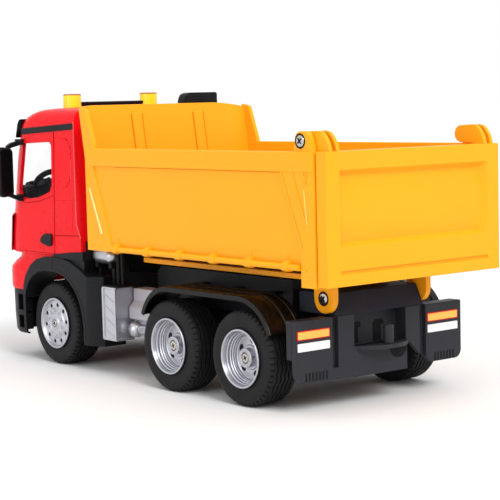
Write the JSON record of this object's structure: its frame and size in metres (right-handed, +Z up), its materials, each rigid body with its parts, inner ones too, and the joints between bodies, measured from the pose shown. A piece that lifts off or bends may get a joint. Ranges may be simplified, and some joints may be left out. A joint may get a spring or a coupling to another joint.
{
  "type": "toy dump truck",
  "caption": "Model dump truck with a cab, a tipping load bed, a top-hung tailgate, steered front wheels and rolling rear wheels on a bare chassis.",
  "frame": {"origin": "on the ground under the middle of the truck's overall box", "axes": "+X forwards to the cab, +Y to the truck's left, +Z up"},
  "size_m": [0.341, 0.154, 0.1757],
  "materials": {
    "cab_red": "glossy moulded plastic",
    "bed_orange": "satin moulded plastic",
    "black_plastic": "satin",
    "frame_black": "matt",
    "gloss_black": "glossy",
    "cabin_black": "matt",
    "tyre_rubber": "matt rubber",
    "silver_plastic": "vacuum-plated satin silver",
    "screw_steel": "zinc-plated",
    "reflector": "printed strip with a red border",
    "plate_white": "blank white label",
    "window_tint": "clear",
    "beacon_yellow": "translucent"
  },
  "bodies": {
    "chassis": {"chassis_frame": "frame_black", "deck_cases": "black_plastic", "battery_case": "black_plastic", "rear_axle_1": "black_plastic", "rear_axle_2": "black_plastic", "front_axle_beam": "black_plastic", "bed_pivot_screws": "screw_steel", "rear_bumper": "black_plastic", "tow_pin": "black_plastic", "reflector_strips": "reflector", "number_plates": "plate_white", "rear_fender_left": "gloss_black", "rear_fender_right": "gloss_black", "cab_shell": "cab_red", "cab_glass": "window_tint", "dashboard": "cabin_black", "seats": "cabin_black", "steering_wheel": "cabin_black", "roof_bar": "black_plastic", "beacons": "beacon_yellow", "air_intake": "black_plastic", "mirrors": "black_plastic", "cab_side_trim": "black_plastic", "door_handles": "black_plastic", "sun_visor": "gloss_black", "front_bumper": "cab_red", "front_skirt": "black_plastic", "grille": "black_plastic", "front_arches": "black_plastic", "battery_box": "silver_plastic", "fuel_tank": "silver_plastic", "air_tanks": "silver_plastic", "ram_base_pin": "screw_steel"},
    "bed": {"bed_shell": "bed_orange", "bed_subframe": "bed_orange", "bed_side_pipes": "bed_orange", "tailgate_screws": "screw_steel"},
    "tailgate": {"tailgate": "bed_orange"},
    "knuckle_left": {"knuckle_left": "black_plastic"},
    "knuckle_right": {"knuckle_right": "black_plastic"},
    "lift_cylinder": {"lift_cylinder": "black_plastic"},
    "lift_rod": {"lift_rod": "screw_steel"},
    "wheel_front_left": {"tyre_front_left": "tyre_rubber", "rim_front_left": "silver_plastic"},
    "wheel_front_right": {"tyre_front_right": "tyre_rubber", "rim_front_right": "silver_plastic"},
    "wheel_rear_1_left": {"tyre_rear_1_left": "tyre_rubber", "rim_rear_1_left": "silver_plastic"},
    "wheel_rear_1_right": {"tyre_rear_1_right": "tyre_rubber", "rim_rear_1_right": "silver_plastic"},
    "wheel_rear_2_left": {"tyre_rear_2_left": "tyre_rubber", "rim_rear_2_left": "silver_plastic"},
    "wheel_rear_2_right": {"tyre_rear_2_right": "tyre_rubber", "rim_rear_2_right": "silver_plastic"}
  },
  "joints": [
    {"name": "bed_tip", "type": "hinge", "parent": "chassis", "child": "bed", "pos_m": [-0.1357, 0, 0.0608], "axis": [0, -1, 0], "range_deg": [0, 50]},
    {"name": "tailgate_swing", "type": "hinge", "parent": "bed", "child": "tailgate", "pos_m": [-0.152, 0, 0.1472], "axis": [0, 1, 0], "range_deg": [0, 60]},
    {"name": "lift_cylinder_swing", "type": "hinge", "parent": "chassis", "child": "lift_cylinder", "pos_m": [0.0345, 0, 0.0525], "axis": [0, 1, 0], "range_deg": [0, 14.02]},
    {"name": "lift_rod_slide", "type": "slide", "parent": "lift_cylinder", "child": "lift_rod", "axis": [-0.9825, 0, 0.1865], "range_m": [0, 0.04392]},
    {"name": "steer_left", "type": "hinge", "parent": "chassis", "child": "knuckle_left", "pos_m": [0.1065, 0.033, 0.027], "axis": [0, 0, 1], "range_deg": [-20, 20]},
    {"name": "steer_right", "type": "hinge", "parent": "chassis", "child": "knuckle_right", "pos_m": [0.1065, -0.033, 0.027], "axis": [0, 0, 1], "range_deg": [-20.2, 20.2]},
    {"name": "spin_front_left", "type": "hinge", "parent": "knuckle_left", "child": "wheel_front_left", "pos_m": [0.1065, 0.0463, 0.027], "axis": [0, 1, 0], "continuous": true},
    {"name": "spin_front_right", "type": "hinge", "parent": "knuckle_right", "child": "wheel_front_right", "pos_m": [0.1065, -0.0463, 0.027], "axis": [0, 1, 0], "continuous": true},
    {"name": "spin_rear_1_left", "type": "hinge", "parent": "chassis", "child": "wheel_rear_1_left", "pos_m": [-0.03, 0.0548, 0.027], "axis": [0, 1, 0], "continuous": true},
    {"name": "spin_rear_1_right", "type": "hinge", "parent": "chassis", "child": "wheel_rear_1_right", "pos_m": [-0.03, -0.0548, 0.027], "axis": [0, 1, 0], "continuous": true},
    {"name": "spin_rear_2_left", "type": "hinge", "parent": "chassis", "child": "wheel_rear_2_left", "pos_m": [-0.097, 0.0548, 0.027], "axis": [0, 1, 0], "continuous": true},
    {"name": "spin_rear_2_right", "type": "hinge", "parent": "chassis", "child": "wheel_rear_2_right", "pos_m": [-0.097, -0.0548, 0.027], "axis": [0, 1, 0], "continuous": true}
  ],
  "couplings": [
    {"joint": "lift_cylinder_swing", "follows": "bed_tip", "ratio": 0.27631},
    {"joint": "lift_rod_slide", "follows": "bed_tip", "m_per_rad": 0.049874},
    {"joint": "steer_right", "follows": "steer_left", "ratio": 1}
  ]
}
